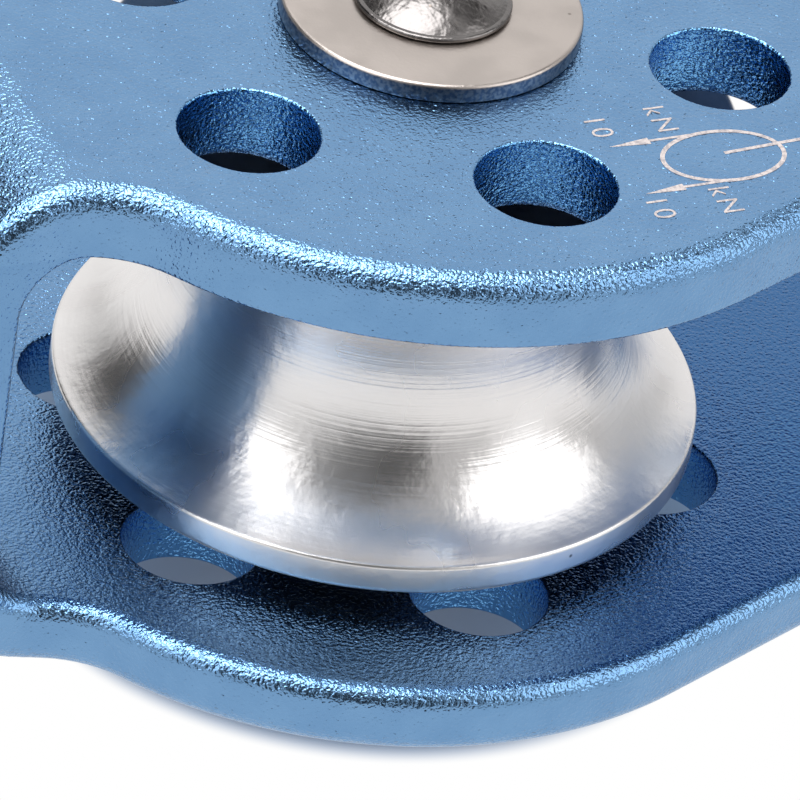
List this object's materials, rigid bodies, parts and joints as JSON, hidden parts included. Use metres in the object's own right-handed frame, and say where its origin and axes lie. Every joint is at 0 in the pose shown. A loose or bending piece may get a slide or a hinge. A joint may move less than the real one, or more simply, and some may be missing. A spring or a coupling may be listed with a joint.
{
  "type": "rope pulley",
  "caption": "Fixed-body rope pulley: a blue anodised plate bent into a U, a turned aluminium sheave on ball bearings, a riveted steel axle and a connector eye.",
  "frame": {"origin": "centre of the flat outer face of the lower axle head, on the sheave's axis", "axes": "+Z along the axle from the flat lower head to the riveted upper head, +X from the fold to the connector eye, +Y across the side plates"},
  "size_m": [0.08, 0.0472, 0.0353],
  "materials": {
    "blue_anodised_aluminium": "bead-blasted and anodised light steel blue, fine sparkle",
    "turned_aluminium": "bare turned aluminium with fine concentric tool marks",
    "satin_steel": "warm satin stainless steel",
    "polished_steel": "polished steel, peened head",
    "bearing_steel": "ground bearing steel",
    "pressed_steel": "pressed sheet steel",
    "laser_marking": "pale laser-marked lines"
  },
  "bodies": {
    "frame": {"side_plate_body": "blue_anodised_aluminium", "axle": "polished_steel", "upper_outer_washer": "satin_steel", "lower_outer_washer": "satin_steel", "upper_thrust_washer": "satin_steel", "lower_thrust_washer": "satin_steel", "bearing_spacer": "satin_steel", "upper_bearing_inner_ring": "bearing_steel", "lower_bearing_inner_ring": "bearing_steel"},
    "sheave": {"sheave": "turned_aluminium", "upper_bearing_outer_ring": "bearing_steel", "upper_bearing_top_shield": "pressed_steel", "upper_bearing_bottom_shield": "pressed_steel", "lower_bearing_outer_ring": "bearing_steel", "lower_bearing_top_shield": "pressed_steel", "lower_bearing_bottom_shield": "pressed_steel"},
    "upper_cage": {"upper_bearing_cage": "pressed_steel", "upper_bearing_ball_1": "bearing_steel", "upper_bearing_ball_2": "bearing_steel", "upper_bearing_ball_3": "bearing_steel", "upper_bearing_ball_4": "bearing_steel", "upper_bearing_ball_5": "bearing_steel", "upper_bearing_ball_6": "bearing_steel", "upper_bearing_ball_7": "bearing_steel", "upper_bearing_ball_8": "bearing_steel", "upper_bearing_ball_9": "bearing_steel"},
    "lower_cage": {"lower_bearing_cage": "pressed_steel", "lower_bearing_ball_1": "bearing_steel", "lower_bearing_ball_2": "bearing_steel", "lower_bearing_ball_3": "bearing_steel", "lower_bearing_ball_4": "bearing_steel", "lower_bearing_ball_5": "bearing_steel", "lower_bearing_ball_6": "bearing_steel", "lower_bearing_ball_7": "bearing_steel", "lower_bearing_ball_8": "bearing_steel", "lower_bearing_ball_9": "bearing_steel"}
  },
  "joints": [
    {"name": "sheave_spin", "type": "hinge", "parent": "frame", "child": "sheave", "pos_m": [0, 0, 0.0176], "axis": [0, 0, 1], "continuous": true},
    {"name": "upper_cage_spin", "type": "hinge", "parent": "frame", "child": "upper_cage", "pos_m": [0, 0, 0.0176], "axis": [0, 0, 1], "continuous": true},
    {"name": "lower_cage_spin", "type": "hinge", "parent": "frame", "child": "lower_cage", "pos_m": [0, 0, 0.0176], "axis": [0, 0, 1], "continuous": true}
  ],
  "couplings": [
    {"joint": "upper_cage_spin", "follows": "sheave_spin", "ratio": 0.599},
    {"joint": "lower_cage_spin", "follows": "sheave_spin", "ratio": 0.599}
  ]
}
